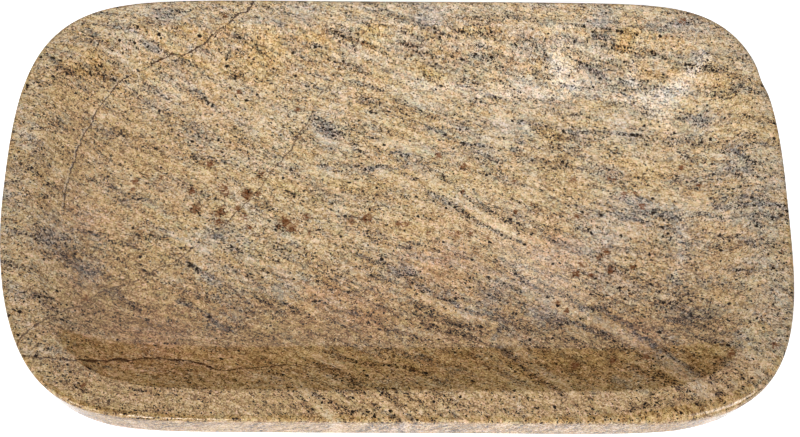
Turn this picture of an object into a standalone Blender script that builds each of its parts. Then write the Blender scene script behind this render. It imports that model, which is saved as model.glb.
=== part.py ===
"""Shallow stone tray: one slab carved with a soft-walled dish, standing on four glued pads.

Metres, +Z up. The origin is at the middle of the tray on the surface that it stands on.
+X runs along the tray to its right end, and +Y to its back edge.
"""

import math

import bmesh
import bpy
import numpy as np

# The slab, as it would be measured with a rule.
SLAB_LENGTH = 0.500
SLAB_WIDTH = 0.300
SLAB_HEIGHT = 0.022
SIDE_UNDERCUT = 0.0025
TOP_EDGE_RADIUS = 0.0022
BOTTOM_EDGE_RADIUS = 0.0015

# The front right corner was ground back by hand, so its edge round is wider there.
GROUND_EDGE_WIDTH = 0.0055
GROUND_EDGE_DROP = 0.0035
GROUND_EDGE_CENTRE_SHARE = 0.78
GROUND_EDGE_SPREAD_SHARE = 0.42

# Fullness of each corner, from back right round to front right. The first value bows the end, and the
# second bows the long side: 2 and 2 would be an ellipse, and high values a sharp corner.
CORNER_FULLNESS_SHARES = (
    (8.8, 2.85),
    (7.5, 3.2),
    (8.1, 1.9),
    (7.7, 3.2),
)

# The dish: a level rim, a concave wall that starts at a crisp edge, and a level floor.
RIM_WIDTH = 0.020
DISH_DEPTH = 0.011
DISH_WALL_WIDTH = 0.056

# The pads under the slab.
PAD_DIAMETER = 0.016
PAD_HEIGHT = 0.0027
PAD_EDGE_RADIUS = 0.0005
PAD_END_INSET = 0.055
PAD_SIDE_INSET = 0.050
GLUE_GAP = 0.0003

# How finely the curves are cut.
CORNER_POINTS = 32
EDGE_STEPS = 5
WALL_STEPS = 9
FINE_STEPS = 4000
PAD_SIDES = 40
PAD_EDGE_STEPS = 2
CREASE_ANGLE = math.radians(19)

# Finishes: linear colour and roughness.
STONE_COLOUR = (0.40, 0.29, 0.18)
STONE_ROUGHNESS = 0.3
RUBBER_COLOUR = (0.03, 0.03, 0.03)
RUBBER_ROUGHNESS = 0.75

SLAB_BOTTOM = PAD_HEIGHT + GLUE_GAP
SLAB_TOP = SLAB_BOTTOM + SLAB_HEIGHT


def clear_scene():
    for obj in list(bpy.data.objects):
        bpy.data.objects.remove(obj, do_unlink=True)


def make_material(name, colour, roughness):
    material = bpy.data.materials.new(name)
    material.use_nodes = True
    shader = material.node_tree.nodes["Principled BSDF"]
    shader.inputs["Base Color"].default_value = (*colour, 1.0)
    shader.inputs["Roughness"].default_value = roughness
    shader.inputs["Metallic"].default_value = 0.0
    return material


def quarter_outline(end_share, side_share, start_angle):
    """One corner of the plan in a 2 by 2 square, with its points evenly spaced on the real slab."""
    angles = start_angle + np.linspace(0.0, math.pi / 2, FINE_STEPS + 1)
    x = np.sign(np.cos(angles)) * np.abs(np.cos(angles)) ** (2 / end_share)
    y = np.sign(np.sin(angles)) * np.abs(np.sin(angles)) ** (2 / side_share)
    steps = np.hypot(np.diff(x * SLAB_LENGTH), np.diff(y * SLAB_WIDTH))
    along = np.concatenate([[0.0], np.cumsum(steps)])
    wanted = np.linspace(0.0, along[-1], CORNER_POINTS, endpoint=False)
    return np.column_stack([np.interp(wanted, along, x), np.interp(wanted, along, y)])


def unit_outline():
    """The whole plan in a 2 by 2 square, counterclockwise from the right end."""
    corners = [
        quarter_outline(end_share, side_share, turn * math.pi / 2)
        for turn, (end_share, side_share) in enumerate(CORNER_FULLNESS_SHARES)
    ]
    return np.concatenate(corners)


def ring(outline, inset, height):
    """One section of the slab. The inset and the height may differ from point to point."""
    x = outline[:, 0] * (SLAB_LENGTH / 2 - inset)
    y = outline[:, 1] * (SLAB_WIDTH / 2 - inset)
    z = np.broadcast_to(height, x.shape)
    return np.column_stack([x, y, z])


def ground_share(outline):
    """How far each point of the outline lies inside the ground front right corner, from 0 to 1."""
    from_front = np.hypot(outline[:, 0] - GROUND_EDGE_CENTRE_SHARE, outline[:, 1] + 1)
    share = np.clip(1 - from_front / GROUND_EDGE_SPREAD_SHARE, 0, 1)
    return share * share * (3 - 2 * share)


def slab_rings():
    """Sections from the underside up the side, over the rim and down into the dish."""
    outline = unit_outline()
    ground = ground_share(outline)
    edge_width = TOP_EDGE_RADIUS + GROUND_EDGE_WIDTH * ground
    edge_drop = TOP_EDGE_RADIUS + GROUND_EDGE_DROP * ground
    rings = []
    for step in range(EDGE_STEPS + 1):
        angle = step / EDGE_STEPS * math.pi / 2
        inset = SIDE_UNDERCUT + BOTTOM_EDGE_RADIUS * (1 - math.sin(angle))
        height = SLAB_BOTTOM + BOTTOM_EDGE_RADIUS * (1 - math.cos(angle))
        rings.append(ring(outline, inset, height))
    for step in range(EDGE_STEPS + 1):
        angle = step / EDGE_STEPS * math.pi / 2
        inset = edge_width * (1 - math.cos(angle))
        height = SLAB_TOP - edge_drop * (1 - math.sin(angle))
        rings.append(ring(outline, inset, height))
    for step in range(WALL_STEPS + 1):
        share = step / WALL_STEPS
        inset = RIM_WIDTH + DISH_WALL_WIDTH * share
        height = SLAB_TOP - DISH_DEPTH * (1 - (1 - share) ** 2)
        rings.append(ring(outline, inset, height))
    return rings


def mesh_from_rings(name, rings):
    """A closed solid through the rings, with a flat face on the first and on the last."""
    mesh = bpy.data.meshes.new(name)
    bm = bmesh.new()
    loops = [[bm.verts.new(point) for point in section] for section in rings]
    for lower, upper in zip(loops, loops[1:]):
        for i in range(len(lower)):
            j = (i + 1) % len(lower)
            bm.faces.new((lower[i], lower[j], upper[j], upper[i]))
    bm.faces.new(list(reversed(loops[0])))
    bm.faces.new(loops[-1])
    bmesh.ops.recalc_face_normals(bm, faces=bm.faces)
    bm.to_mesh(mesh)
    bm.free()
    mesh.shade_smooth()
    mesh.set_sharp_from_angle(angle=CREASE_ANGLE)
    return mesh


def make_slab(collection, material):
    mesh = mesh_from_rings("stone_slab", slab_rings())
    mesh.materials.append(material)
    slab = bpy.data.objects.new("stone_slab", mesh)
    collection.objects.link(slab)


def make_pad(name, x, y, collection, material):
    """A round pad that stands on the table, with its rim rounded."""
    bpy.ops.mesh.primitive_cylinder_add(
        vertices=PAD_SIDES,
        radius=PAD_DIAMETER / 2,
        depth=PAD_HEIGHT,
        location=(x, y, PAD_HEIGHT / 2),
    )
    pad = bpy.context.object
    pad.name = name
    pad.data.materials.append(material)
    edge = pad.modifiers.new("rounded_edge", "BEVEL")
    edge.width = PAD_EDGE_RADIUS
    edge.segments = PAD_EDGE_STEPS
    edge.limit_method = "ANGLE"
    pad.data.shade_smooth()
    pad.data.set_sharp_from_angle(angle=CREASE_ANGLE)
    for other in list(pad.users_collection):
        other.objects.unlink(pad)
    collection.objects.link(pad)


def make_pads(collection, material):
    x = SLAB_LENGTH / 2 - PAD_END_INSET
    y = SLAB_WIDTH / 2 - PAD_SIDE_INSET
    for side_name, side in (("front", -1), ("back", 1)):
        for end_name, end in (("left", -1), ("right", 1)):
            make_pad(f"{side_name}_{end_name}_pad", end * x, side * y, collection, material)


def main():
    clear_scene()
    collection = bpy.data.collections.new("stone_tray")
    bpy.context.scene.collection.children.link(collection)
    stone = make_material("golden_stone", STONE_COLOUR, STONE_ROUGHNESS)
    rubber = make_material("pad_rubber", RUBBER_COLOUR, RUBBER_ROUGHNESS)
    make_slab(collection, stone)
    make_pads(collection, rubber)


main()
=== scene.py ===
"""Looks of the stone tray: a dense carved slab in polished golden stone, its rubber pads, and the studio."""

import math

import bpy
import numpy as np
from mathutils import Matrix, Vector, noise


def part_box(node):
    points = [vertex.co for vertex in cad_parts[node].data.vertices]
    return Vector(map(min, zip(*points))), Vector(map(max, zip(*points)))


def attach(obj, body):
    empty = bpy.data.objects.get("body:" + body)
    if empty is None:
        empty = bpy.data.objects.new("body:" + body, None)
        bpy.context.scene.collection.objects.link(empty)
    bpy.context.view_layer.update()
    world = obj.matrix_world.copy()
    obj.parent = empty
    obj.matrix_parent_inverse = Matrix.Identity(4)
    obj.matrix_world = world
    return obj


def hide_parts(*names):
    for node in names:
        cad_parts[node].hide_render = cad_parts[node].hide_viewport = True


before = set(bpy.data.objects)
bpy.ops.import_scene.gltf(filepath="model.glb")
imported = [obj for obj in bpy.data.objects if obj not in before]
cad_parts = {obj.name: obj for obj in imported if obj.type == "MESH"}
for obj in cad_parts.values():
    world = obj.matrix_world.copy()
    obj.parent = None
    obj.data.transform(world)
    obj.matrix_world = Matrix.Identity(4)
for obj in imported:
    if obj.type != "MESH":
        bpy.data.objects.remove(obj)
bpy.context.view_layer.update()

# The slab's sizes in metres. What its node shows is read from the frame.
slab_low, slab_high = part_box("stone_slab")
SLAB_LENGTH = slab_high.x - slab_low.x
SLAB_WIDTH = slab_high.y - slab_low.y
SLAB_BOTTOM = slab_low.z
SLAB_TOP = slab_high.z
RIM_WIDTH = 0.020
DISH_DEPTH = 0.011
DISH_WALL_WIDTH = 0.056
RIM_CREASE = 0.0012
TOP_EDGE_RADIUS = 0.0022
BOTTOM_EDGE_RADIUS = 0.0012
# How far the side leans in towards the underside, along the front and back and at the two ends. The one turns
# into the other between two shares of the half length.
SIDE_UNDERCUT = 0.0003
END_UNDERCUT = 0.0025
UNDERCUT_TURN = (0.68, 0.86)
# How full each corner of the outline is, along the length and the width: back right, back left, front left
# and front right.
CORNER_FULLNESS_SHARES = ((8.8, 2.85), (7.5, 3.2), (8.1, 1.9), (7.7, 3.2))
# The edge at the front right corner is ground back wider around one place of the front side. Where that lies
# and how far it spreads are shares of the half length.
GROUND_EDGE_WIDTH = 0.0055
GROUND_EDGE_DROP = 0.0035
GROUND_EDGE_CENTRE_SHARE = 0.78
GROUND_EDGE_SPREAD_SHARE = 0.42

# Hand work: slow waves in the outline and the surfaces, and a small dent in the back right corner.
OUTLINE_WAVE = 0.00035
OUTLINE_WAVE_LENGTH = 0.075
DISH_WAVE = 0.00022
RIM_WAVE = 0.00006
SURFACE_WAVE_LENGTH = 0.050
SURFACE_SEED = 3.0
OUTLINE_SEEDS = (11.0, 17.0)
DENT_PLACE = (0.2415, 0.090)
DENT_DEPTH = 0.0014
DENT_REACH = 0.009

# How finely the slab is cut.
CELLS_LONG = 340
CELLS_WIDE = 204
FINE_STEPS = 4000
SIDE_ROWS = 6
EDGE_ROWS = 5
RIM_ROW_SHARES = (0.0, 0.12, 0.25, 0.4, 0.55, 0.7, 0.82, 0.9, 0.95, 0.98, 1.0)
CREASE_ROWS = (0.0003, 0.0007, 0.0012, 0.002, 0.003, 0.0042, 0.0056, 0.0072, 0.009)
BOTTOM_ROWS = (0.002, 0.006, 0.012, 0.022, 0.036)

# The stone. Its foliation runs down to the right as seen from above, by the angle given in degrees at
# each place in millimetres from the tray's middle, and it dips towards the front.
FOLIATION = (
    (-200, 120, 5), (-120, 120, 10), (-120, 80, 36), (0, 120, 15), (100, 120, 12), (200, 110, 6),
    (-200, 60, 24), (-100, 55, 32), (-25, 50, 20), (50, 50, 20), (130, 50, 11), (210, 40, 17),
    (-200, 0, 26), (-100, 0, 30), (-25, 0, 20), (40, 0, 28), (90, -10, 26), (150, 0, 14), (225, 0, 12),
    (-200, -60, 24), (-120, -50, 33), (-60, -50, 30), (0, -50, 19), (60, -55, 25), (120, -65, 28),
    (190, -60, 19), (-180, -115, 9), (-120, -115, 10), (-60, -115, 19), (-10, -120, 24), (40, -115, 16),
    (90, -115, 30), (140, -110, 30), (200, -110, 24), (-55, -140, 43), (0, -140, 43), (100, -130, 45),
    (185, -135, 48),
)
FOLIATION_REACH = 38.0
FOLIATION_ANGLE = math.radians(17)
# The dip is how the pattern shifts across for each millimetre of height above DIP_FROM, which is the dish's
# floor. The other two shifts choose the part of the endless pattern that the tray shows.
FOLIATION_DIP = -0.6
DIP_FROM = 14.0
FLOW_SHIFT = -14.3
GRAIN_SHIFT = 18.2
FLOW_STEPS = 40

# Cracks: each one's colour as a screen shows it, and its places in millimetres with its half width there.
CRACKS = {
    "crack_left": ((54, 28, 18), (
        (-96, 148, 1.6), (-100, 140, 1.4), (-106, 138.5, 1), (-110, 133, 1.2), (-113, 130, 0.6),
        (-120, 125.5, 0.6), (-124, 122, 0.7), (-127, 117.5, 0.8), (-131, 115.5, 1.1), (-135, 113.5, 0.8),
        (-139, 110.5, 0.8), (-143, 109.7, 0.9), (-149, 110.5, 0.9), (-153, 107.7, 0.8), (-157, 106, 0.7),
        (-162, 103, 0.7), (-165, 100, 0.5), (-170, 97.5, 0.3), (-175, 95, 0.3), (-182, 90.5, 0.5),
        (-185, 86, 0.5), (-189, 79.5, 0.5), (-192, 74.5, 0.6), (-196, 68, 0.5), (-197.5, 63, 0.5),
        (-199, 56.5, 0.6), (-203, 51, 0.5), (-204, 44, 0.4), (-206.5, 38, 0.6), (-207, 29.5, 0.8),
        (-209, 24, 0.6), (-210, 16, 0.4), (-211, 6, 0.5), (-211, -1.5, 0.5), (-211, -12, 0.4),
    )),
    "crack_middle": ((84, 58, 38), (
        (-16, 135, 0.3), (-20, 126, 0.4), (-24.5, 122, 0.6), (-29.5, 114, 0.4), (-35, 105, 0.4),
        (-38.5, 100, 0.5), (-42, 93.5, 0.4), (-46, 87, 0.4), (-51.5, 82, 0.3), (-53.5, 74.5, 0.3),
        (-56, 67, 0.4), (-59, 59, 0.5), (-62.5, 54, 0.6), (-65.5, 47.5, 0.5), (-68, 41, 0.6),
        (-73, 34, 0.5), (-79, 27, 0.6), (-85, 16.5, 0.5), (-89, 10, 0.5), (-97, 0, 0.4), (-103, -6.5, 0.5),
        (-107, -12, 0.5), (-115, -20, 0.2), (-126.5, -29, 0.4), (-131.5, -33.5, 0.6), (-139, -40.5, 0.5),
        (-149.5, -44.5, 0.5), (-154.5, -49, 0.6), (-165, -55, 0.5), (-177.5, -59, 0.6), (-184, -62.5, 0.6),
        (-188, -65.5, 0.5), (-194, -73, 0.5), (-201, -74.5, 0.8), (-206, -78.5, 0.7), (-213.5, -84, 0.6),
        (-220, -88.5, 0.7), (-225, -93, 0.7), (-229, -97, 0.6), (-230, -101, 0.5),
    )),
    "crack_front": ((50, 24, 18), (
        (-227, -109, 0.5), (-213.5, -110.3, 0.6), (-203, -110.5, 0.5), (-195.5, -111.8, 0.9),
        (-190.5, -110.5, 1), (-185.5, -111.3, 1.7), (-175, -110.3, 0.9), (-168.5, -108.6, 1.2),
        (-163.5, -109.8, 1.9), (-157, -108.2, 0.8), (-149.5, -107.3, 0.8), (-140.5, -107.3, 0.9),
        (-136.5, -108.6, 0.8), (-129, -108, 0.8), (-121, -110, 1), (-116, -111.8, 0.8), (-111, -114.4, 0.6),
        (-103, -115.9, 0.7), (-94, -114.4, 0.6), (-80, -113, 0.7), (-71, -111.8, 0.6), (-58, -111, 0.5),
        (-51.5, -113, 0.4), (-40, -114, 0.3),
    )),
    "crack_thin": ((104, 82, 60), ((-79, -22.5, 0.3), (-83, -29, 0.4), (-86, -34, 0.3))),
    "crack_right": ((104, 82, 60), (
        (160.5, -50, 0.3), (152, -60, 0.4), (144, -71, 0.3), (137.5, -74.5, 0.2),
    )),
}

# How far to both sides a crack's distance is counted, and over what length its ends fade, in millimetres.
CRACK_REACH = 15
CRACK_END_FADE = 6

# Bands along the foliation, by strength and tone. Each has its half width and then the x and y of its places
# by turns, in millimetres. The tone of the dark ones, which are mica, runs from 0 for brown to 1 for blue.
PALE_BANDS = {
    (0.6, 0): (
        (3, -64, -80, -48, -86), (4, -8, 24, 8, 17), (4, -10, 48, 6, 44, 16, 41), (4, 141, -19, 150, -20),
    ),
    (0.7, 0): (
        (2, -52, 52, -42, 45, -30, 42), (1.8, -50, 27, -40, 22, -30, 20), (2, -35, -42, -18, -48),
        (2.5, -108, 79, -98, 70),
    ),
    (0.8, 0): (
        (3.5, 63, -90, 73, -96, 80, -102, 87, -110, 95, -118, 103, -125, 108, -132),
        (2.5, -95, -37, -84, -41, -72, -47), (2.5, -48, -105, -40, -109, -30, -113),
        (3, 19, -63, 32, -72, 51, -78),
    ),
    (0.9, 0): (
        (3, 12, 27, 25, 17, 40, 6, 55, -6, 75, -19, 84, -23), (2, -144, -20, -131, -27, -118, -34),
        (2.2, 4, -83.5, 14, -87, 26, -90),
    ),
    (1, 0): (
        (4.5, 87, -62, 101, -70, 114, -76, 127, -80, 136, -86, 144, -91, 152, -97),
        (4.5, 152, -97, 161, -103, 167, -109, 176, -117, 184, -126, 192, -139),
        (3, -78, -59, -66, -65, -60, -67, -47, -75), (3, -57, -129, -47, -139, -36, -149),
        (3, -13, -133, -4, -140, 5, -147),
    ),
}
DARK_BANDS = {
    (0.6, 0): ((1.3, -185, 126, -168, 129),),
    (0.6, 0.1): ((3, 62, -5, 70, -9, 80, -15),),
    (0.8, 0.1): ((2, 148, 117, 158, 114, 169, 112.5), (2.2, 136, -94, 148, -102)),
    (0.9, 0.1): ((3, 94, 57, 103, 54, 114, 50),),
    (0.7, 0.2): ((3, -217, 93, -203, 92),),
    (0.8, 0.2): (
        (1.4, 221, 105, 233, 104), (1.4, 32, -88, 45, -89.5, 49, -92), (1.4, 168, -133, 180, -134),
    ),
    (0.9, 0.2): (
        (2, 44, 126, 51, 125), (1.6, 5, 7, 7, 5), (1.6, 103, 43, 107, 42),
        (1.4, 137, -143, 150, -139, 163, -136),
    ),
    (1, 0.2): ((1.5, -40, 125, -34, 122, -28, 120, -21, 118.5),),
    (0.6, 0.3): ((2, -118, 138, -113, 136), (1.8, -163, -22, -148, -24)),
    (0.8, 0.3): (
        (1.4, -20, 117, -13, 115, -8, 112), (1.4, -13, 130, 0, 129, 8, 126),
        (1.5, 172, 113, 176, 110, 182, 107.5), (1.5, 161, -67, 182, -67),
    ),
    (0.9, 0.3): ((1.6, -191, -129, -181, -134, -171, -139), (1.8, 13, -69, 25, -76, 33, -80, 44, -83)),
    (0.7, 0.4): ((1.2, 112, 43, 120, 42),),
    (0.8, 0.4): ((1.8, 5, -112, 14, -115, 21, -117),),
    (0.9, 0.4): ((1.4, 162, 28, 171, 24, 181, 20.5), (1.2, -26, -109.5, -13, -110.5, 5, -112)),
    (0.7, 0.5): ((2.2, 207, 80, 219, 77), (2, 180, 50, 190, 49, 201, 46)),
    (0.8, 0.5): (
        (1.5, 48, 87, 58, 84, 67, 81), (1.2, 141, 127.8, 150, 126.8, 160, 125.5), (3, 188, -135, 193, -138),
    ),
    (0.9, 0.5): (
        (1.4, 21, 95, 27, 92, 33, 88), (3, -34, -119, -28, -122, -20, -128),
        (1.8, 79, -95, 85, -104, 89, -110, 98, -117, 110, -129),
        (1.8, 157, -113, 167, -122, 175, -128.5, 186, -139),
    ),
    (0.6, 0.6): ((2, -184, 55, -168, 51), (1.2, -148, -134, -136, -131)),
    (0.7, 0.6): (
        (1.4, 24, 128, 30, 126), (2.2, 206, 99, 218, 97), (2, 219, 51, 231, 47),
        (4, -225, -22, -212, -28, -200, -33),
    ),
    (0.8, 0.6): ((1.8, -110, 95, -102, 95),),
    (0.9, 0.6): (
        (1.4, -49, -110, -42, -112, -34, -115),
        (1.8, 63, -97, 70, -103, 77, -112, 85, -119.5, 95, -127, 102, -133),
    ),
    (1, 0.6): (
        (1.3, 13, 32, 19, 29, 25, 24, 30, 21, 37, 16.5, 42, 11, 48, 4.5),
        (1.5, 48, 4.5, 55, 0, 59, -2, 63, -5.5, 68, -9, 76, -14.5),
    ),
    (0.7, 0.7): ((1.5, -244, -46, -238, -48), (1.4, 228, 29, 236, 27)),
    (0.8, 0.7): ((1.5, 33, 124, 39, 123), (2, 52, 41, 60, 36, 70, 33), (3, 188, 66, 200, 61)),
    (0.9, 0.7): ((1.6, 13, 123, 16, 122),),
    (1, 0.7): (
        (1.4, -43, -101, -34, -105, -25, -109.5), (1.8, -62, -128, -56, -135, -50, -143),
        (1.8, -49, -133, -38, -139, -26, -144),
    ),
    (0.6, 0.8): ((1.8, -238, 84, -226, 83), (2.5, -36, 52, -28, 46)),
    (0.7, 0.8): (
        (1.6, -146, 54, -138, 53, -128, 51), (1.5, 120, 55, 132, 56, 144, 55, 160, 52.5),
        (2.5, -200, 19, -188, 16, -178, 10, -166, 4), (1.5, -172, -28, -164, -30),
        (1.6, -23, -35, -10, -41), (2, 227, -10, 229, -16), (1.6, 170, -46, 178, -55, 186, -62),
    ),
    (0.8, 0.8): (
        (1.8, -203, 98, -194, 94, -186, 90), (1.3, -19, 70, -15, 69), (1.4, 183, 133, 197, 133),
        (1.3, 222, 113, 226, 112), (1.5, 223, 86.5, 231, 84), (1.5, -204, -20, -194, -21, -184, -22),
        (1.2, -16, 50, -9, 49), (1.5, 46, -6.5, 55, -12, 61, -15, 69, -20.5, 82, -26),
        (1.5, 169, -14, 181, -14),
    ),
    (0.9, 0.8): (
        (2.2, -22, 78, -14, 77, -9, 75), (1.3, -26, 41, -18, 39),
        (1.6, 16, 15.5, 24, 9.5, 31, 5.5, 38, 1, 46, -6.5), (1.2, 186, 40, 188, 38, 192, 34),
        (1.6, 195, -4, 201, -6.5, 208, -10), (1.6, 3, -47, 12, -54, 22, -60.5, 36, -67, 41, -72, 57, -76),
    ),
    (1, 0.8): ((1.3, -6, -85.5, 3, -87.5, 18, -93), (1.4, -33, -130, -24, -131, -14, -132.5)),
    (0.5, 0.9): ((2, -172, 92, -158, 84, -148, 77),),
    (0.6, 0.9): (
        (1.8, -108, 123, -98, 121), (1.6, -145, 106, -137, 104), (2.5, 150, 93, 162, 92),
        (4, -205, -40, -190, -48),
    ),
    (0.7, 0.9): (
        (1.2, -248, 10, -239, 9), (1.3, -245, -24, -235, -26), (1.6, -130, -41, -123, -46, -116, -51),
        (1.6, -104, -31, -96, -33, -90, -37), (1.5, -19, -20, -12, -27),
        (1.6, -118, -76, -108, -84, -100, -88), (1.6, 212, -46, 224, -48),
    ),
    (0.8, 0.9): (
        (1.4, -26, 92, -18, 89, -10, 86), (1.4, 50, 111, 64, 109), (1.6, 133, 124, 144, 121),
        (1.6, 141, 90, 147, 86, 154, 82), (1.6, -173, 4, -164, 4, -158, 3),
        (2, -130, 35, -121, 34, -112, 31), (1.8, -114, -22, -109, -22), (1.4, 140, 41, 146, 39),
        (1.6, 129, -5, 133, -6), (1.2, 172, -4, 179, -3), (1.6, 199, -19, 210, -22.5, 217, -23, 225, -30),
        (1.6, 224, 4, 227, 3), (1.2, -221, -68, -212, -71), (1.6, -175, -60, -170, -65, -164, -69),
        (1.4, 60, -78, 75, -81), (1.4, 30, -140, 38, -147), (2, 171, -79, 183, -77, 192, -79),
    ),
    (0.9, 0.9): (
        (1.2, 54, 117.5, 62, 117), (1.8, 42, 56.5, 46, 56.5), (1.4, 76, 42, 81, 41.5),
        (1.3, 236, 42, 241, 40, 248, 37), (1.2, -145, -22, -135, -24.5), (1.4, -13, 42.5, -11, 41),
        (1.8, 176, -8, 179, -8), (1.6, 238, -12, 240, -13), (1.6, -224, -69, -217, -74, -209, -77),
        (1.8, -69, -69, -59, -73.5, -52, -78), (1.8, 165, -101, 175, -110, 181, -116, 190, -122, 196, -132),
        (1.5, 75, -47, 81, -52, 87, -56),
    ),
    (1, 0.9): (
        (1.8, -135, 85, -131, 83, -121, 74), (1.8, -114, 81, -106, 78, -101, 72),
        (1.2, -63, 90, -56, 88, -50, 87), (1.2, 21, 58.5, 30, 53, 39, 48), (2, 112, 90, 116, 88.5),
        (1.6, -19, 27, -10, 29, -2, 28, 5, 29), (1.8, 6, 23, 12, 19.5), (1.4, -1, 39, 3, 38.5, 9, 37.5),
        (2, 204, 0, 213, -1.5, 226, -1, 237, -2, 249, -5), (1.6, -14, -139, -5, -144, 4, -149),
        (1.6, -10, -129, -2, -135, 5, -143, 11, -149),
    ),
    (0.6, 1): ((1.6, -160, 141, -140, 140), (1.6, -168, 116, -160, 112), (1.2, -240, 2, -229, 0, -220, 2)),
    (0.7, 1): (
        (1.5, -206, 127, -199, 120), (1.6, -230, 105, -226, 100, -221, 93), (1.5, 76, 137, 84, 136),
        (2.2, 123, 106, 131, 101, 139, 95), (2, 216, 25, 226, 23), (2, 219, 37, 226, 32),
    ),
    (0.8, 1): (
        (1.4, 2, -28, 8, -29), (1.6, -10, -37, -4, -42, 2, -48, 10, -47), (2, 146, 6, 152, 4),
        (1.4, 156, 7, 160, 6), (2, 147, -8, 155, -9, 163, -12), (1.4, 165, -4, 170, -5),
        (1.8, -136, -67, -125, -71), (1.6, 66, -83, 62, -90), (1.8, 65, -52, 72, -56, 79, -60),
        (2, 199, -95, 211, -100),
    ),
    (0.9, 1): (
        (2, -60, 118, -52, 116), (3.5, -54, 64, -46, 57, -37, 52), (1.2, 44, 108.5, 51, 104.5),
        (1.4, 44, 46, 56, 45), (1.6, 82, 62.5, 84, 62), (1.6, 80, 48.5, 83, 47.5),
        (1.6, -158, -13, -152, -16, -145, -19.5), (1.4, -49, 29, -42, 27, -35, 24),
        (1.6, 11, -25.5, 14, -26), (1.6, 140, -4, 144, -4.5), (1.6, -29, -74, -23, -75.5),
    ),
    (1, 1): (
        (1.8, 118, -70.5, 130, -71, 135, -76, 144, -81, 152, -91, 157, -93, 161, -101.5),
        (2, 92, -70.5, 99, -74, 103, -78.5, 111, -81, 121, -85.5, 131, -89),
    ),
}

# What counts of the way past a band's end, and the distance in half widths where no band is near.
BAND_END_SHARE = 0.6
FAR_OFF = 9.0

# Spots of rust and places with little mica, with their reach, in millimetres.
RUST_SPOTS = (
    (-168, 17, 3), (-152, 19, 2.5), (-169, 11, 2), (-131, 10, 3.5), (-111, 12, 4), (-109, 8, 3),
    (-95, 8, 5), (-88, 9, 3), (-128, -3, 4), (-112, -5, 5), (-112, -12, 3.5), (-101, -2, 3), (-96, -8, 3),
    (-93, -16, 2.5), (-120, 30, 3), (-104, 84, 2.5), (-87, 22, 3), (-70, -12, 5), (-66, -16, 4),
    (-75, -15, 3), (-57, -8, 3), (-55, -19, 2), (-19, -8.5, 4.5), (-28, -10, 3), (2, -12, 2.5),
    (7, -13, 2.5), (44, 29, 3), (76, 19, 2.2), (28, 37, 3), (43, 11, 2), (21, -19, 2), (40, -19, 2),
    (48, -19, 2), (59, -22, 2), (77, -3, 2.5), (88, 2, 2), (101, -1, 2.5), (116, -6, 2.5), (115, 20, 2.2),
    (138, 21, 2), (142, 20, 2), (147, 10, 2.5), (154, 10, 2), (134, -31, 3), (129, -35, 3), (136, -44, 3.5),
    (117, -40, 2.5), (150, -42, 2.5), (114, -47, 3.5), (123, -48, 2.5), (158, 1, 3), (185, 29, 2),
    (195, 16, 2), (154, -104, 3), (205, -104, 3), (232, -99, 3), (110, -111, 3.5), (133, -107, 3),
    (107, -72, 2.2), (102, -67, 2), (-188, -128, 2.5), (-115, 137, 3), (81, 143, 2), (192, 135, 3),
    (-192, -67, 2.5), (-22, 119, 2), (-65, 71, 2.5),
)
CALM_PATCHES = (
    (-165, -100, 26), (-130, -108, 26), (-95, -110, 24), (-60, -108, 16), (60, -113, 18), (105, -108, 16),
    (-190, -60, 18),
)

# Patches and broad bands of another tone. Each first says how much brighter, cooler and redder it is. Then
# follow a patch's places and reach, or a band's half width and its two ends, in millimetres. The patches are
# the stone's own tone, save the first gold one in the dish's back left corner, which is painted shade. The
# bands that darken the dish's front floor, front wall, front rim and left wall are painted shade, and the
# darker, cooler band on its back wall is painted shade and painted reflection; the others only shift the
# tone.
TONE_PATCHES = {
    "cream": ((0.05, 0.25, 0), (
        (75, 90, 14), (65, 60, 16), (12, 80, 8), (-80, 60, 14), (-180, 114, 14), (-150, 78, 14),
        (-125, 60, 12), (-237, 42, 8), (145, 65, 9), (-197, -12, 9), (-95, -12, 12), (45, -75, 8),
        (-120, -25, 8), (150, -127, 9), (40, -138, 12), (130, -20, 12), (75, -135, 10),
    )),
    "gold": ((-0.02, -0.35, 0), (
        # The first gold patch, in the dish's back left corner, is painted shade.
        (-220, 78, 9), (-177, 56, 12), (-92, 108, 16), (-56, 114, 12), (-15, 128, 8), (0, 62, 13),
        (159, 121, 14), (218, 86, 10), (229, 66, 12), (-210, 35, 14), (-165, 35, 14), (-84, 49, 6),
        (-10, 14, 9), (-68, 13, 8), (71, -11, 8), (170, 30, 15), (113, -103, 18), (206, -122, 11),
        (162, -138, 12), (228, -87, 8), (-64, -142, 9), (-20, -139, 8), (100, 25, 14), (103, 54, 8),
        (40, -97, 14), (100, -15, 10), (-90, -98, 12), (192, -98, 14),
    )),
    "grey": ((-0.03, 0.45, 0), (
        (-45, 57, 9), (-212, -30, 14), (-195, -45, 12), (-100, -72, 16), (-115, -55, 12), (90, -75, 10),
        (222, 28, 12), (225, -8, 14), (155, -3, 12), (130, 98, 10), (200, 62, 10), (5, -42, 10),
        (60, -65, 10), (-60, 135, 10), (20, 137, 12), (140, 137, 10), (-155, 138, 10), (-70, -60, 10),
    )),
    "peach": ((0, 0, 1), (
        (30, -40, 22), (100, -35, 18), (-150, -95, 25), (-20, -75, 16), (-195, -12, 10), (-40, -60, 14),
        (150, -90, 12),
    )),
}
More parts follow.
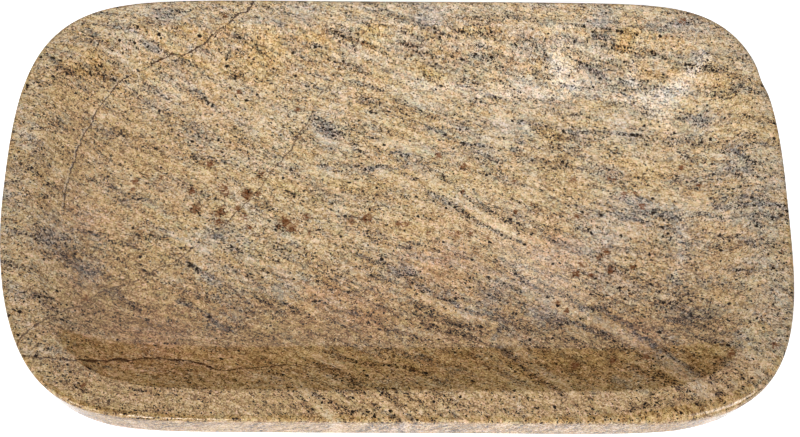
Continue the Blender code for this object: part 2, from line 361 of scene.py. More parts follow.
# Painted shade: the bands that darken the dish's front floor, front wall, front rim and left wall, and the
# darker, cooler band on its back wall.
SHADE_AND_TONE_BANDS = (
    (-0.03, 0.16, 0, 14, (-190, 124), (190, 126)), (0.02, 0.06, 0, 8, (-190, 144), (190, 146)),
    (0, 0.18, 0, 12, (-180, 106), (190, 110)), (-0.12, -0.26, 0.35, 24, (-180, -86), (190, -86)),
    (-0.07, -0.30, 0.6, 14, (-190, -116), (200, -116)), (-0.04, -0.55, 0.4, 12, (-190, -139), (200, -139)),
    (0.03, 0, 0.5, 14, (-190, -104), (-90, -108)), (-0.05, -0.10, 0.3, 24, (-208, -90), (-208, 90)),
    (-0.02, -0.12, 0.4, 45, (-185, -20), (-140, 60)), (-0.04, -0.25, 0.3, 28, (-190, -62), (-60, -70)),
    (-0.04, -0.10, 0.4, 40, (0, -50), (200, -40)), (0.03, 0, 0, 25, (160, -40), (160, 90)),
    (0, -0.15, 0, 14, (214, -60), (214, 90)), (0, -0.10, 0, 28, (-150, 5), (100, 5)),
)
COOLER_TO_THE_RIGHT = 0.0004

# Stone colours as a screen shows them, from dark to pale, for warm grains and for cool ones.
WARM_GRAINS = (
    (0.10, (54, 34, 18)), (0.35, (108, 77, 42)), (0.52, (147, 113, 66)), (0.64, (177, 143, 88)),
    (0.75, (199, 167, 112)), (0.90, (220, 194, 150)),
)
COOL_GRAINS = (
    (0.10, (44, 40, 38)), (0.35, (88, 81, 74)), (0.52, (126, 115, 101)), (0.64, (154, 141, 122)),
    (0.75, (180, 165, 143)), (0.90, (211, 195, 172)),
)
MICA_COLOUR = (40, 31, 26)
RUST_COLOUR = (108, 58, 18)
CRACK_RIM_COLOUR = (200, 186, 168)
# Sizes of the patterns in the stone in millimetres: along the foliation, across it, and in height.
FINE_GRAINS = (0.9, 0.75, 0.75)
MIDDLE_GRAINS = (2.3, 1.7, 1.7)
COARSE_LUMPS = (10, 5, 5)
TINY_LUMPS = (0.6, 0.45, 0.45)
SEAM_CELLS = (3.1, 2.2, 2.2)
SEAM_PATCHES = (5, 3.5, 3.5)
SWARMS = (36, 7, 24)
CHAINS = (14, 1.6, 8)
WISPS = (4.5, 0.9, 3)
RAGGED_EDGES = (3.5, 2.5, 2.5)
ZONES = (26, 9, 20)
RUST_GRAINS = (2.6, 1.4, 1.4)
CRACK_LUMPS = (4, 4, 4)
WOBBLE_WAVES = (1 / 0.45, 1 / 0.6, 1 / 0.6)
WOBBLE_REACH = (2.4, 2, 2)
# Mica grains: length and height in millimetres, the pull at which they start and at which they are thick,
# and their share of the cells at each.
MICA_SIZES = (
    (1.1, 0.9, -0.20, 0.35, 0.05, 0.45), (1.7, 1.4, -0.10, 0.40, 0.02, 0.42),
    (2.6, 2.0, 0.05, 0.55, 0.015, 0.18),
)
STONE_BUMP = (0.35, 0.00003)

# The pads' rubber: its tones, the sizes of its grain and of its worn places, and its bump.
RUBBER_TONES = ((0.3, (34, 33, 32)), (0.7, (52, 50, 48)))
RUBBER_GRAIN = (1 / 3, 1 / 3, 1 / 3)
RUBBER_WEAR = (4, 4, 4)
RUBBER_BUMP = (0.3, 0.0001)

# Gleams in the polish. Each streak has its lamps' width, then places in metres: where the tray gleams,
# where the small lamp hangs that gleams there, and how bright it is.
GLEAM_HEIGHT = 1.5
GLEAM_SPREAD = 8.0
GLEAMS = {
    "middle_gleam": (0.018, (
        ((0.1108, 0.1210), (0.246, 0.017), 4),
        ((0.1094, 0.1144), (0.245, 0.122), 5),
        ((0.1086, 0.1077), (0.246, 0.239), 9),
        ((0.1091, 0.1008), (0.250, 0.355), 13),
        ((0.1110, 0.0938), (0.256, 0.497), 11),
        ((0.1141, 0.0880), (0.265, 0.619), 7),
    )),
    "right_gleam": (0.22, (
        ((0.2016, 0.1039), (-0.096, 0.354), 6),
        ((0.1949, 0.0976), (-0.020, 0.414), 7),
        ((0.1881, 0.0896), (0.059, 0.505), 8),
        ((0.1779, 0.0823), (0.168, 0.602), 8),
        ((0.1691, 0.0753), (0.258, 0.711), 6),
    )),
}

# Lamps: where each hangs and where it points in metres, its width and height, its power and its spread. One
# that hangs over its aim points a hair to the side, so that its width still has a level direction.
LAMPS = {
    "key_lamp": ((-0.4, -1.1, 1.2), (0.12, 0.45, 0), (0.4, 0.3), 1.5, 36),
    "left_lamp": ((-1.15, -0.8, 1.05), (0, 0.42, 0), (1.4, 1.0), 2.4, 40),
    "right_lamp": ((1.15, -0.8, 1.05), (0, 0.42, 0), (1.4, 1.0), 2.0, 40),
    "overhead_silk": ((0, 1.7, 3.0), (0, 1.7001, 0), (2.6, 1.7), 17, 180),
    "low_front_lamp": ((0.1, -1.5, 0.35), (0, -0.15, 0), (1.5, 0.5), 2.3, 180),
}
AIR_COLOUR = (1, 0.85, 0.7, 1)
AIR_STRENGTH = 0.06

# The floor: how much light it gives back, the white that is added for camera and gloss, and half its side.
FLOOR_COLOUR = (0.9, 0.9, 0.9, 1.0)
FLOOR_WHITE = 0.8
FLOOR_HALF = 3.0

# Camera, worked out from the photo, with places in the photo's own pixels.
PHOTO_WIDTH = 800
PHOTO_HEIGHT = 437
CAMERA_AZIMUTH = math.radians(-0.75)
CAMERA_ELEVATION = math.radians(63.4)
CAMERA_ROLL = math.radians(1.02)
CAMERA_DISTANCE = 1.143
CAMERA_FOCUS_PIXELS = 1764
CAMERA_CENTRE_X = 395.4
CAMERA_CENTRE_Y = 216.1
SENSOR_WIDTH = 36.0


def side_outline(turn):
    """Fine points of one side of the plan in a 2 by 2 square, from one corner's middle to the next one's."""
    angles = (turn - 0.5 + np.linspace(0.0, 1.0, FINE_STEPS + 1)) * math.pi / 2
    quarter = np.floor(angles / (math.pi / 2)).astype(int) % 4
    end_share = np.array([corner[0] for corner in CORNER_FULLNESS_SHARES])[quarter]
    side_share = np.array([corner[1] for corner in CORNER_FULLNESS_SHARES])[quarter]
    x = np.sign(np.cos(angles)) * np.abs(np.cos(angles)) ** (2 / end_share)
    y = np.sign(np.sin(angles)) * np.abs(np.sin(angles)) ** (2 / side_share)
    steps = np.hypot(np.diff(x * SLAB_LENGTH), np.diff(y * SLAB_WIDTH))
    along = np.concatenate([[0.0], np.cumsum(steps)])
    return along / along[-1], x, y


SIDES = [side_outline(turn) for turn in range(4)]


def ring_plan(cells_long, cells_wide):
    """Unit plan points once round, counterclockwise from the front right corner's middle."""
    points = []
    for turn, cells in enumerate((cells_wide, cells_long, cells_wide, cells_long)):
        along, x, y = SIDES[turn]
        wanted = np.arange(cells) / max(cells, 1)
        points.append(np.column_stack([np.interp(wanted, along, x), np.interp(wanted, along, y)]))
    return np.concatenate(points)


def place(plan, inset, height):
    """Unit plan points to points of the slab."""
    x = plan[:, 0] * (SLAB_LENGTH / 2 - inset)
    y = plan[:, 1] * (SLAB_WIDTH / 2 - inset)
    return np.column_stack([x, y, np.broadcast_to(height, x.shape)])


def ground_share(plan):
    """How far each point of the plan lies inside the ground front right corner, from 0 to 1."""
    reach = np.hypot(plan[:, 0] - GROUND_EDGE_CENTRE_SHARE, plan[:, 1] + 1)
    share = np.clip(1 - reach / GROUND_EDGE_SPREAD_SHARE, 0, 1)
    return share * share * (3 - 2 * share)


def dish_drop(inset):
    """How far the top lies below the rim: none on the rim, then a concave wall, then the floor."""
    into = inset - RIM_WIDTH
    into = (into + np.sqrt(into**2 + RIM_CREASE**2)) / 2
    share = np.clip(into / DISH_WALL_WIDTH, 0, 1)
    return DISH_DEPTH * (1 - (1 - share) ** 2)


class SlabMesh:
    """Points, their insets from the outline, and faces, gathered ring by ring."""

    def __init__(self):
        self.points = []
        self.insets = []
        self.faces = []
        self.count = 0

    def add(self, points, insets):
        first = self.count
        self.points.append(points)
        self.insets.append(np.broadcast_to(insets, len(points)))
        self.count += len(points)
        return np.arange(first, self.count)

    def join(self, lower, upper):
        quads = np.column_stack([lower, np.roll(lower, -1), np.roll(upper, -1), upper])
        self.faces += quads.tolist()


def add_underside_and_side(slab, plan):
    """The flat underside's outer rings, the bottom edge, the side and the top edge."""
    ground = ground_share(plan)
    edge_width = TOP_EDGE_RADIUS + GROUND_EDGE_WIDTH * ground
    edge_drop = TOP_EDGE_RADIUS + GROUND_EDGE_DROP * ground
    undercut = np.interp(np.abs(plan[:, 0]), UNDERCUT_TURN, (SIDE_UNDERCUT, END_UNDERCUT))
    rings = [(undercut + BOTTOM_EDGE_RADIUS + row, SLAB_BOTTOM) for row in reversed(BOTTOM_ROWS)]
    for step in range(EDGE_ROWS + 1):
        angle = step / EDGE_ROWS * math.pi / 2
        inset = undercut + BOTTOM_EDGE_RADIUS * (1 - math.sin(angle))
        rings.append((inset, SLAB_BOTTOM + BOTTOM_EDGE_RADIUS * (1 - math.cos(angle))))
    low = SLAB_BOTTOM + BOTTOM_EDGE_RADIUS
    high = SLAB_TOP - edge_drop
    for step in range(1, SIDE_ROWS):
        share = step / SIDE_ROWS
        rings.append((undercut * (1 - share), low + (high - low) * share))
    for step in range(EDGE_ROWS):
        angle = step / EDGE_ROWS * math.pi / 2
        rings.append((edge_width * (1 - math.cos(angle)), SLAB_TOP - edge_drop * (1 - math.sin(angle))))
    loops = [slab.add(place(plan, inset, height), -1.0) for inset, height in rings]
    slab.faces.append(loops[0][::-1].tolist())
    for lower, upper in zip(loops, loops[1:]):
        slab.join(lower, upper)
    return loops[-1]


def ring_cells(ring):
    """Where one ring's points stand in the top's grid of rows and columns."""
    low_x, high_x = ring, CELLS_LONG - ring
    low_y, high_y = ring, CELLS_WIDE - ring
    cells = [(high_x, j) for j in range(low_y, high_y)]
    cells += [(i, high_y) for i in range(high_x, low_x, -1)]
    cells += [(low_x, j) for j in range(high_y, low_y, -1)]
    cells += [(i, low_y) for i in range(low_x, high_x)]
    return cells


def add_top(slab):
    """The rim and the dish as one grid, whose rings follow the outline inwards."""
    grid = np.zeros((CELLS_LONG + 1, CELLS_WIDE + 1), int)
    last = CELLS_WIDE // 2
    rows = [*RIM_ROW_SHARES, *(RIM_WIDTH + row for row in CREASE_ROWS)]
    start = rows[-1]
    left = last + 1 - len(rows)
    rows += [start + (SLAB_WIDTH / 2 - start) / left * (i + 1) for i in range(left - 1)]
    loops = []
    for ring, inset in enumerate(rows):
        plan = ring_plan(CELLS_LONG - 2 * ring, CELLS_WIDE - 2 * ring)
        if ring < len(RIM_ROW_SHARES):
            width = TOP_EDGE_RADIUS + GROUND_EDGE_WIDTH * ground_share(plan)
            inset = width + (RIM_WIDTH - width) * rows[ring]
        loops.append(slab.add(place(plan, inset, SLAB_TOP), inset))
        cells = np.array(ring_cells(ring))
        grid[cells[:, 0], cells[:, 1]] = loops[-1]
    along, x, _ = SIDES[3]
    columns = np.arange(last, CELLS_LONG - last + 1)
    wanted = (columns - last) / (CELLS_LONG - 2 * last)
    middle = np.column_stack([np.interp(wanted, along, x), np.zeros(len(columns))])
    grid[columns, last] = slab.add(place(middle, SLAB_WIDTH / 2, SLAB_TOP), SLAB_WIDTH / 2)
    quads = np.stack([grid[:-1, :-1], grid[1:, :-1], grid[1:, 1:], grid[:-1, 1:]], axis=-1)
    slab.faces += quads.reshape(-1, 4).tolist()
    return loops[0]


def wave(points, length, seed):
    """Smooth noise from about -1 to 1 at each point."""
    shift = Vector((seed, -seed, seed / 2))
    return np.array([noise.noise(Vector(point) / length + shift) for point in points])


def hand_work(points, insets):
    """Lowers the dish, and adds the slow waves and the dent of hand grinding."""
    top = insets >= 0
    drop = np.where(top, dish_drop(insets), 0)
    depth_share = drop / DISH_DEPTH
    flat = points * np.array([1.0, 1.0, 0.0])
    surface = wave(flat, SURFACE_WAVE_LENGTH, SURFACE_SEED)
    points[:, 2] -= drop
    points[:, 2] += np.where(top, surface * (RIM_WAVE + (DISH_WAVE - RIM_WAVE) * depth_share), 0)
    for axis, seed in enumerate(OUTLINE_SEEDS):
        points[:, axis] += OUTLINE_WAVE * wave(flat, OUTLINE_WAVE_LENGTH, seed)
    away = np.array(DENT_PLACE) - points[:, :2]
    near = np.exp(-(np.hypot(away[:, 0], away[:, 1]) / DENT_REACH) ** 2)
    inward = -np.array(DENT_PLACE) / np.hypot(*DENT_PLACE)
    points[:, :2] += inward * (DENT_DEPTH * near)[:, None]
    return points


def foliation_slope(x, y):
    """How steeply the foliation falls to the right at each place."""
    total = np.zeros_like(x)
    weights = np.full_like(x, 1e-6)
    for at_x, at_y, angle in FOLIATION:
        weight = np.exp(-((x - at_x) ** 2 + (y - at_y) ** 2) / FOLIATION_REACH**2)
        total += weight * angle
        weights += weight
    return np.tan(np.radians(total / weights))


def foliation_flow(points):
    """Coordinates that follow the foliation: along it, across it, and the height."""
    x = points[:, 0].copy()
    y = points[:, 1] + FLOW_SHIFT + FOLIATION_DIP * (points[:, 2] - DIP_FROM)
    stride = x / FLOW_STEPS
    for _ in range(FLOW_STEPS):
        half_y = y + foliation_slope(x, y) * stride / 2
        y = y + foliation_slope(x - stride / 2, half_y) * stride
        x = x - stride
    along = points[:, 0] * math.cos(FOLIATION_ANGLE) - points[:, 1] * math.sin(FOLIATION_ANGLE)
    return np.column_stack([along, y, points[:, 2]])


def segment_places(points, start, end):
    """Each point's place along one straight segment, from 0 to 1, and its signed distance, and the length."""
    step = end - start
    length = np.hypot(*step)
    away = points - start
    share = (away @ step) / length**2
    side = (away[:, 0] * step[1] - away[:, 1] * step[0]) / length
    return share, side, length


def crack_field(points, crack):
    """Signed distance from the crack, its half width there, and a strength that ends with the crack."""
    corners = np.array(crack, float)
    best = np.full(len(points), np.inf)
    field = np.zeros((len(points), 3))
    for number, (start, end) in enumerate(zip(corners, corners[1:])):
        share, side, length = segment_places(points, start[:2], end[:2])
        held = np.clip(share, 0, 1)
        past = (share - held) * length
        distance = np.hypot(side, past)
        first, last = number == 0, number == len(corners) - 2
        open_end = (first & (share < 0)) | (last & (share > 1))
        signed = np.where(open_end, side, np.copysign(distance, side))
        strength = np.where(open_end, np.clip(1 - np.abs(past) / CRACK_END_FADE, 0, 1), 1)
        width = start[2] + (end[2] - start[2]) * held
        nearer = distance < best
        best = np.where(nearer, distance, best)
        made = np.column_stack([np.clip(signed, -CRACK_REACH, CRACK_REACH), width, strength])
        field = np.where(nearer[:, None], made, field)
    return field


def band_field(points, bands):
    """For the nearest band: the distance from it in half widths, its strength and its tone."""
    field = np.zeros((len(points), 3))
    field[:, 0] = FAR_OFF
    rows = [(*key, *row) for key, members in bands.items() for row in members]
    for strength, tone, half_width, *corners in rows:
        corners = np.array(corners, float).reshape(-1, 2)
        for start, end in zip(corners, corners[1:]):
            share, side, length = segment_places(points, start, end)
            past = (share - np.clip(share, 0, 1)) * length
            ratio = np.hypot(side, past * BAND_END_SHARE) / half_width
            nearer = ratio < field[:, 0]
            made = np.column_stack(np.broadcast_arrays(ratio, strength, tone))
            field = np.where(nearer[:, None], made, field)
    return field


def shade_and_tone_fields(points):
    """How much brighter, cooler and redder each place is made, from the broad bands and patches: partly the
    stone's own tone, partly painted shade.
    """
    shade_and_tones = np.zeros((len(points), 3))
    for steps, patches in TONE_PATCHES.values():
        shade_and_tones += np.outer(patch_field(points, patches), steps)
    for *steps, half_width, start, end in SHADE_AND_TONE_BANDS:
        share, side, length = segment_places(points, np.array(start), np.array(end))
        away = np.hypot(side, (share - np.clip(share, 0, 1)) * length)
        shade_and_tones += np.outer(np.exp(-((away / half_width) ** 2)), steps)
    return shade_and_tones


def patch_field(points, patches):
    """How deep each point lies in the nearest patch, from 0 to 1."""
    field = np.zeros(len(points))
    for x, y, reach in patches:
        away = np.hypot(points[:, 0] - x, points[:, 1] - y)
        field = np.maximum(field, np.exp(-((away / reach) ** 2)))
    return field


def add_vectors(mesh, name, values):
    """Writes three values for each point to the mesh."""
    attribute = mesh.attributes.new(name, "FLOAT_VECTOR", "POINT")
    attribute.data.foreach_set("vector", np.ascontiguousarray(values, np.float32).ravel())


def mark_stone(mesh, points):
    """Writes where the foliation, the cracks, the bands, the tints and the painted shade lie to the mesh."""
    in_mm = points * 1000
    plan = in_mm[:, :2]
    add_vectors(mesh, "flow", foliation_flow(in_mm))
    for name, (_, places) in CRACKS.items():
        add_vectors(mesh, name, crack_field(plan, places))
    add_vectors(mesh, "pale_band", band_field(plan, PALE_BANDS))
    add_vectors(mesh, "dark_band", band_field(plan, DARK_BANDS))
    marks = [patch_field(plan, patches) for patches in (RUST_SPOTS, CALM_PATCHES)]
    add_vectors(mesh, "marks", np.column_stack([*marks, np.zeros(len(plan))]))
    add_vectors(mesh, "shade_and_tones", shade_and_tone_fields(plan))


def add_object(name, data):
    made = bpy.data.objects.new(name, data)
    bpy.context.scene.collection.objects.link(made)
    return made


def make_slab(material):
    slab = SlabMesh()
    plan = ring_plan(CELLS_LONG, CELLS_WIDE)
    edge_loop = add_underside_and_side(slab, plan)
    slab.join(edge_loop, add_top(slab))
    points = np.concatenate(slab.points)
    insets = np.concatenate(slab.insets)
    points = hand_work(points, insets)
    mesh = bpy.data.meshes.new("tray_slab")
    mesh.from_pydata(points.tolist(), [], slab.faces)
    mesh.shade_smooth()
    mesh.materials.append(material)
    mark_stone(mesh, points)
    obj = add_object("tray_slab", mesh)
    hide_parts("stone_slab")
    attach(obj, "root")


def linear(colour):
    """A colour as a screen shows it, from 0 to 255, in the linear values of the shader."""
    return [((part / 255 + 0.055) / 1.055) ** 2.4 for part in colour]


class Net:
    """Short ways to add and link the nodes of one material."""

    def __init__(self, name):
        self.material = bpy.data.materials.new(name)
        self.material.use_nodes = True
        self.tree = self.material.node_tree
        self.shader = self.tree.nodes["Principled BSDF"]

    def node(self, kind, **settings):
        made = self.tree.nodes.new("ShaderNode" + kind)
        for name, value in settings.items():
            setattr(made, name, value)
        return made

    def put(self, socket, value):
        if isinstance(value, bpy.types.NodeSocket):
            self.tree.links.new(value, socket)
        else:
            socket.default_value = value

    def put_all(self, sockets, *values):
        for socket, value in zip(sockets, values):
            self.put(socket, value)

    def give(self, name, value):
        self.put(self.shader.inputs[name], value)

    def math(self, operation, *parts):
        made = self.node("Math", operation=operation)
        self.put_all(made.inputs, *parts)
        return made.outputs[0]

    def times(self, first, second):
        return self.math("MULTIPLY", first, second)

    def add(self, *terms):
        """The sum of the terms. A pair stands for a term and its weight."""
        parts = [self.times(*term) if isinstance(term, tuple) else term for term in terms]
        total = parts[0]
        for part in parts[1:]:
            total = self.math("ADD", total, part)
        return total

    def line(self, value, slope, start):
        return self.math("MULTIPLY_ADD", value, slope, start)

    def around(self, value, scale):
        """A share from 0 to 1 turned into a value around 0."""
        return self.line(value, scale, -0.5 * scale)

    def fit(self, value, low, high, to_low=0.0, to_high=1.0):
        """A smooth step of the value from low to high."""
        made = self.node("MapRange", interpolation_type="SMOOTHSTEP")
        self.put_all(made.inputs, value, low, high, to_low, to_high)
        return made.outputs[0]

    def vectors(self, operation, first, second):
        made = self.node("VectorMath", operation=operation)
        self.put_all(made.inputs, first, second)
        return made.outputs[0]

    def shift(self, vector, step):
        return self.vectors("ADD", vector, step)

    def scale(self, vector, factors):
        return self.vectors("MULTIPLY", vector, factors)

    def place_in_mm(self):
        return self.scale(self.node("TexCoord").outputs["Object"], (1000, 1000, 1000))

    def pattern(self, kind, vector, sizes, **settings):
        """A pattern of the given sizes, which are in the vector's own unit."""
        made = self.node(kind, **settings)
        self.put(made.inputs["Vector"], self.scale(vector, [1 / size for size in sizes]))
        self.put(made.inputs["Scale"], 1.0)
        return made

    def noise(self, vector, sizes, detail=2.0, roughness=0.5):
        made = self.pattern("TexNoise", vector, sizes)
        self.put(made.inputs["Detail"], detail)
        self.put(made.inputs["Roughness"], roughness)
        return made.outputs

    def cells(self, vector, sizes, feature="F1"):
        return self.pattern("TexVoronoi", vector, sizes, feature=feature).outputs

    def split(self, vector):
        made = self.node("SeparateXYZ")
        self.put(made.inputs[0], vector)
        return made.outputs

    def join(self, *parts):
        made = self.node("CombineXYZ")
        self.put_all(made.inputs, *parts)
        return made.outputs[0]

    def attribute(self, name):
        return self.node("Attribute", attribute_name=name).outputs["Vector"]

    def ramp(self, value, stops):
        made = self.node("ValToRGB")
        self.put(made.inputs[0], value)
        steps = made.color_ramp.elements
        while len(steps) < len(stops):
            steps.new(1.0)
        for step, (place_at, colour) in zip(steps, stops):
            step.position = place_at
            step.color = (*linear(colour), 1.0)
        return made.outputs[0]

    def blend(self, share, low, high):
        made = self.node("Mix", data_type="RGBA")
        self.put(made.inputs[0], share)
        for socket, colour in ((made.inputs[6], low), (made.inputs[7], high)):
            self.put(socket, (*linear(colour), 1.0) if isinstance(colour, tuple) else colour)
        return made.outputs[2]

    def bump(self, height, strength, depth):
        made = self.node("Bump")
        self.put(made.inputs["Strength"], strength)
        self.put(made.inputs["Distance"], depth)
        self.put(made.inputs["Height"], height)
        self.give("Normal", made.outputs["Normal"])


def foliation_place(net, place_mm):
    """Places turned so that x runs along the foliation, and sheared by its dip."""
    turned = net.node("VectorRotate", rotation_type="Z_AXIS")
    net.put(turned.inputs["Vector"], place_mm)
    net.put(turned.inputs["Angle"], FOLIATION_ANGLE)
    along, across, height = net.split(turned.outputs[0])
    dip = net.line(height, FOLIATION_DIP, GRAIN_SHIFT - FOLIATION_DIP * DIP_FROM)
    return net.join(along, net.add(across, dip), height)


def lay_mica(net, bent, dark_pull, calm_patch):
    """Where mica lies: black specks, thick in the dark streaks, and fewer larger flakes."""
    mica = 0.0
    calm = net.line(calm_patch, -0.8, 1.0)
    for length, height, low, high, least, most in MICA_SIZES:
        cells = net.cells(bent, (length, height, height))
        chance, size, _ = net.split(cells["Color"])
        share = net.times(net.fit(dark_pull, low, high, least, most), calm)
        size = net.fit(size, 0.0, 1.0, 0.30, 0.58)
        core = net.fit(net.math("DIVIDE", cells["Distance"], size), 0.9, 1.05, 1.0, 0.0)
        mica = net.math("MAXIMUM", mica, net.times(net.math("LESS_THAN", chance, share), core))
    return mica


def lay_cracks(net, colour, ragged, place_mm, grain_place):
    """The colour with the cracks over it, and where they are. The left crack has a pale line beside it."""
    thickness = net.noise(grain_place, CRACK_LUMPS, 3.0, 0.7)["Fac"]
    thickness = net.fit(thickness, 0.32, 0.72, 0.4, 1.4)
    cracked = 0.0
    for name, (crack_colour, _) in CRACKS.items():
        side, half_width, strength = net.split(net.attribute(name))
        side = net.add(side, net.around(ragged, 3.0))
        half_width = net.times(half_width, thickness)
        if name == "crack_left":
            beside = net.math("ABSOLUTE", net.add(side, -1.0))
            pale_line = net.times(net.fit(beside, 0.2, 0.7, 1.0, 0.0), strength)
            pale_line = net.times(pale_line, net.fit(net.split(place_mm)[1], 90, 104, 0.35, 0.0))
            pale_line = net.times(pale_line, net.fit(thickness, 0.5, 1.0))
            colour = net.blend(pale_line, colour, CRACK_RIM_COLOUR)
        line = net.fit(net.math("ABSOLUTE", side), net.times(half_width, 0.4), half_width, 1.0, 0.0)
        line = net.times(line, strength)
        cracked = net.math("MAXIMUM", cracked, line)
        colour = net.blend(net.times(line, 0.88), colour, crack_colour)
    return colour, cracked


def stone_material():
    """Polished golden gneiss: grains, mica, streaks along the foliation, and the placed marks."""
    net = Net("polished_stone")
    place_mm = net.place_in_mm()
    grain_place = foliation_place(net, place_mm)
    flow = net.attribute("flow")
    pale_ratio, pale_strength, _ = net.split(net.attribute("pale_band"))
    dark_ratio, dark_strength, dark_tone = net.split(net.attribute("dark_band"))
    rust_mark, calm_patch, _ = net.split(net.attribute("marks"))
    # These tints hold the stone's own tone and the painted shade on the dish's walls and front.
    brighter, cooler, redder = net.split(net.attribute("shade_and_tones"))

    # Wobble bends every layer a little, so that no grain has straight sides.
    wobble = net.shift(net.noise(grain_place, WOBBLE_WAVES)["Color"], (-0.5, -0.5, -0.5))
    wobble = net.scale(wobble, WOBBLE_REACH)
    bent = net.shift(grain_place, wobble)
    bent_flow = net.shift(flow, wobble)

    # Grains of several sizes. Each has its own brightness and its own tint.
    fine = net.split(net.cells(bent, FINE_GRAINS)["Color"])
    middle_colour = net.cells(bent, MIDDLE_GRAINS)["Color"]
    middle = net.split(middle_colour)
    coarse = net.noise(bent, COARSE_LUMPS)["Fac"]
    tiny = net.noise(bent, TINY_LUMPS, 1.0)["Fac"]

    # Seams are thin dark lines between some of the grains.
    seam = net.fit(net.cells(bent, SEAM_CELLS, "DISTANCE_TO_EDGE")["Distance"], 0.02, 0.12, 1.0, 0.0)
    seam = net.times(seam, net.fit(net.noise(bent, SEAM_PATCHES, 1.0)["Fac"], 0.45, 0.6))

    # Streaks along the foliation: broad swarms, narrow chains, and thin dark wisps.
    swarm = net.noise(flow, SWARMS, 3.0, 0.55)["Fac"]
    chain = net.noise(bent_flow, CHAINS, 2.0, 0.6)["Fac"]
    wisp = net.fit(net.noise(bent_flow, WISPS, 1.0)["Fac"], 0.62, 0.74)
    streak = net.add(net.around(swarm, 1.3), net.around(chain, 1.2))

    # Placed bands get ragged edges.
    ragged = net.noise(bent, RAGGED_EDGES, 2.0, 0.6)["Fac"]
    pale_edge = net.add(pale_ratio, net.around(ragged, 2.0))
    pale_mark = net.times(net.fit(pale_edge, 0.3, 1.5, 1.0, 0.0), pale_strength)
    dark_edge = net.add(dark_ratio, net.around(ragged, 3.0))
    dark_mark = net.times(net.fit(dark_edge, 0.2, 1.6, 1.0, 0.0), dark_strength)
    dark_pull = net.add((streak, -1.0), (dark_mark, 0.7), (pale_mark, -0.6))
    mica = lay_mica(net, bent, dark_pull, calm_patch)

    # Brightness as a screen shows it, and how cool the tint is.
    dark_grain = net.math("POWER", fine[0], 3.0)
    dark_lines = net.add((dark_grain, -0.34), (wisp, -0.20), (seam, -0.18))
    value = net.add(
        0.77,
        (dark_lines, net.line(pale_mark, -0.4, 1.0)),
        net.around(fine[2], 0.20),
        net.around(middle[0], 0.15),
        net.around(coarse, 0.26),
        net.around(tiny, 0.5),
        (streak, 0.24),
        (pale_mark, 0.06),
        (dark_mark, -0.10),
        brighter,
    )
    zone = net.noise(flow, ZONES)
    cool = net.add(
        0.32,
        net.around(fine[1], 0.4),
        net.around(middle[1], 0.5),
        net.around(zone["Fac"], -1.35),
        (net.split(place_mm)[0], COOLER_TO_THE_RIGHT),
        (streak, -0.3),
        (pale_mark, 0.15),
        cooler,
        (dark_mark, net.line(dark_tone, 0.9, -0.4)),
    )
    cool = net.math("MAXIMUM", net.math("MINIMUM", cool, 1.0), 0.0)
    colour = net.blend(cool, net.ramp(value, WARM_GRAINS), net.ramp(value, COOL_GRAINS))
    tint = net.shift(net.scale(middle_colour, (0.08, 0.10, 0.16)), (-0.04, -0.05, -0.08))
    zone_tint = net.shift(net.scale(zone["Color"], (0.04, 0.0, 0.30)), (0.97, 1.02, 0.96))
    redder = net.add(redder, net.around(net.split(zone["Color"])[1], 1.6))
    red_tint = net.scale(redder, (0.02, -0.06, -0.04))
    colour = net.scale(colour, net.shift(net.shift(zone_tint, tint), red_tint))

    # Painted reflection: the sides are tinted a little cooler than the top by which way they face.
    facing_up = net.split(net.node("TexCoord").outputs["Normal"])[2]
    side_reflection_tint = net.scale(net.fit(facing_up, 0.25, 0.6, 1.0, 0.0), (-0.04, -0.05, 0.06))
    colour = net.scale(colour, net.shift(side_reflection_tint, (1.0, 1.0, 1.0)))

    # Rust, mica and cracks lie over the grains.
    rust_grain = net.noise(bent, RUST_GRAINS, 3.0, 0.7)["Fac"]
    rust = net.fit(net.add((rust_grain, 1.3), (rust_mark, 0.45)), 0.85, 1.0)
    rust = net.times(rust, net.fit(fine[1], 0.0, 0.6, 0.6, 1.0))
    colour = net.blend(rust, colour, RUST_COLOUR)
    colour = net.blend(mica, colour, MICA_COLOUR)
    colour, cracked = lay_cracks(net, colour, ragged, place_mm, grain_place)
    net.give("Base Color", colour)

    # Mica, rust and seams are duller than the polish, which follows the grains a little. Mica and rust
    # shine darkly, like metal.
    dull = net.math("MAXIMUM", mica, rust)
    net.give("Roughness", net.add(0.03, (dull, 0.45), (fine[2], 0.02), (seam, 0.05)))
    net.give("Metallic", net.math("MAXIMUM", mica, net.times(rust, 0.7)))
    net.bump(net.add(ragged, (cracked, -1.5)), *STONE_BUMP)
    return net.material


def rubber_material():
    """Dark moulded rubber with a fine grain."""
    net = Net("pad_rubber_grain")
    place_mm = net.place_in_mm()
    grain = net.noise(place_mm, RUBBER_GRAIN, 3.0, 0.6)["Fac"]
    worn = net.noise(place_mm, RUBBER_WEAR)["Fac"]
    net.give("Base Color", net.ramp(net.add(net.around(grain, 0.5), worn), RUBBER_TONES))
    net.give("Roughness", net.add(0.62, (worn, 0.25)))
    net.bump(grain, *RUBBER_BUMP)
    return net.material


def dress_pads(material):
    for side in ("front", "back"):
        for end in ("left", "right"):
            bpy.data.objects[f"{side}_{end}_pad"].material_slots[0].material = material


def floor_material():
    """White that still takes the tray's shadow: a lit surface with plain white added for camera and gloss."""
    net = Net("white_floor")
    net.tree.nodes.remove(net.shader)
    rays = net.node("LightPath").outputs
    seen = net.math("MAXIMUM", rays["Is Camera Ray"], rays["Is Glossy Ray"])
    lit = net.node("BsdfDiffuse")
    net.put(lit.inputs["Color"], FLOOR_COLOUR)
    white = net.node("Emission")
    net.put(white.inputs["Strength"], net.times(seen, FLOOR_WHITE))
    both = net.node("AddShader")
    net.put_all(both.inputs, lit.outputs["BSDF"], white.outputs["Emission"])
    net.put(net.tree.nodes["Material Output"].inputs["Surface"], both.outputs["Shader"])
    return net.material


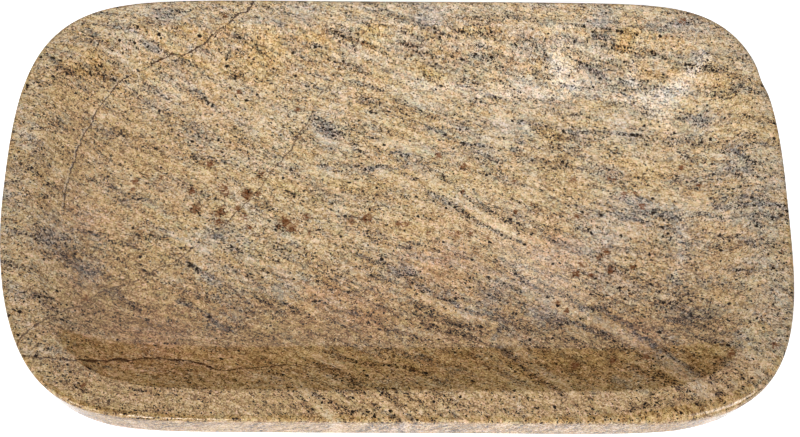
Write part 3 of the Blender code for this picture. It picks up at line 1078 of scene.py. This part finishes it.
def make_floor():
    mesh = bpy.data.meshes.new("floor")
    corners = [(x * FLOOR_HALF, y * FLOOR_HALF, 0) for x, y in ((-1, -1), (1, -1), (1, 1), (-1, 1))]
    mesh.from_pydata(corners, [], [(0, 1, 2, 3)])
    mesh.materials.append(floor_material())
    floor = add_object("floor", mesh)


def make_camera():
    data = bpy.data.cameras.new("camera")
    camera = add_object("camera", data)
    turn = Matrix.Rotation(CAMERA_AZIMUTH, 4, "Z") @ Matrix.Rotation(math.pi / 2 - CAMERA_ELEVATION, 4, "X")
    turn = turn @ Matrix.Rotation(CAMERA_ROLL, 4, "Z")
    camera.matrix_world = turn @ Matrix.Translation((0, 0, CAMERA_DISTANCE))
    data.sensor_width = SENSOR_WIDTH
    data.lens = CAMERA_FOCUS_PIXELS * SENSOR_WIDTH / PHOTO_WIDTH
    data.shift_x = (PHOTO_WIDTH / 2 - CAMERA_CENTRE_X) / PHOTO_WIDTH
    data.shift_y = (CAMERA_CENTRE_Y - PHOTO_HEIGHT / 2) / PHOTO_WIDTH
    bpy.context.scene.camera = camera


def gleam_lamp(name, tray_at, lamp_at, before, after, width, glow):
    """A small lamp that only one place of the polish mirrors. It lies along the line of its neighbours."""
    hung = Vector((*lamp_at, GLEAM_HEIGHT))
    away = (hung - Vector((*tray_at, SLAB_TOP))).normalized()
    along = Vector((*after, 0)) - Vector((*before, 0))
    length = along.length * (0.55 if before != lamp_at != after else 1.1)
    along = (along - away * along.dot(away)).normalized()
    half_spread = math.radians(GLEAM_SPREAD) / 2
    power = glow * math.pi * length * width * half_spread**2 / 3
    add_lamp(name, hung, along, away, (length, width), power, GLEAM_SPREAD)


def add_lamp(name, place_at, along, away, size, power, spread):
    """A rectangular lamp that shines away from the direction away, with its width along the other one."""
    data = bpy.data.lights.new(name, "AREA")
    data.shape = "RECTANGLE"
    data.size, data.size_y = size
    data.energy = power
    data.spread = math.radians(spread)
    lamp = add_object(name, data)
    turn = Matrix((along, away.cross(along), away)).transposed()
    lamp.matrix_world = Matrix.Translation(place_at) @ turn.to_4x4()


def make_light():
    world = bpy.data.worlds.new("studio")
    bpy.context.scene.world = world
    world.use_nodes = True
    background = world.node_tree.nodes["Background"]
    background.inputs["Color"].default_value = AIR_COLOUR
    background.inputs["Strength"].default_value = AIR_STRENGTH
    for name, (place_at, aim_at, size, power, spread) in LAMPS.items():
        away = (Vector(place_at) - Vector(aim_at)).normalized()
        level = Vector((0, 0, 1)).cross(away).normalized()
        add_lamp(name, place_at, level, away, size, power, spread)
    for streak, (width, places) in GLEAMS.items():
        for number, (tray_at, lamp_at, glow) in enumerate(places):
            before = places[max(number - 1, 0)][1]
            after = places[min(number + 1, len(places) - 1)][1]
            gleam_lamp(f"{streak}_{number}", tray_at, lamp_at, before, after, width, glow)


def main():
    make_slab(stone_material())
    dress_pads(rubber_material())
    make_floor()
    make_camera()
    make_light()
    bpy.context.scene.view_settings.view_transform = "Standard"


main()
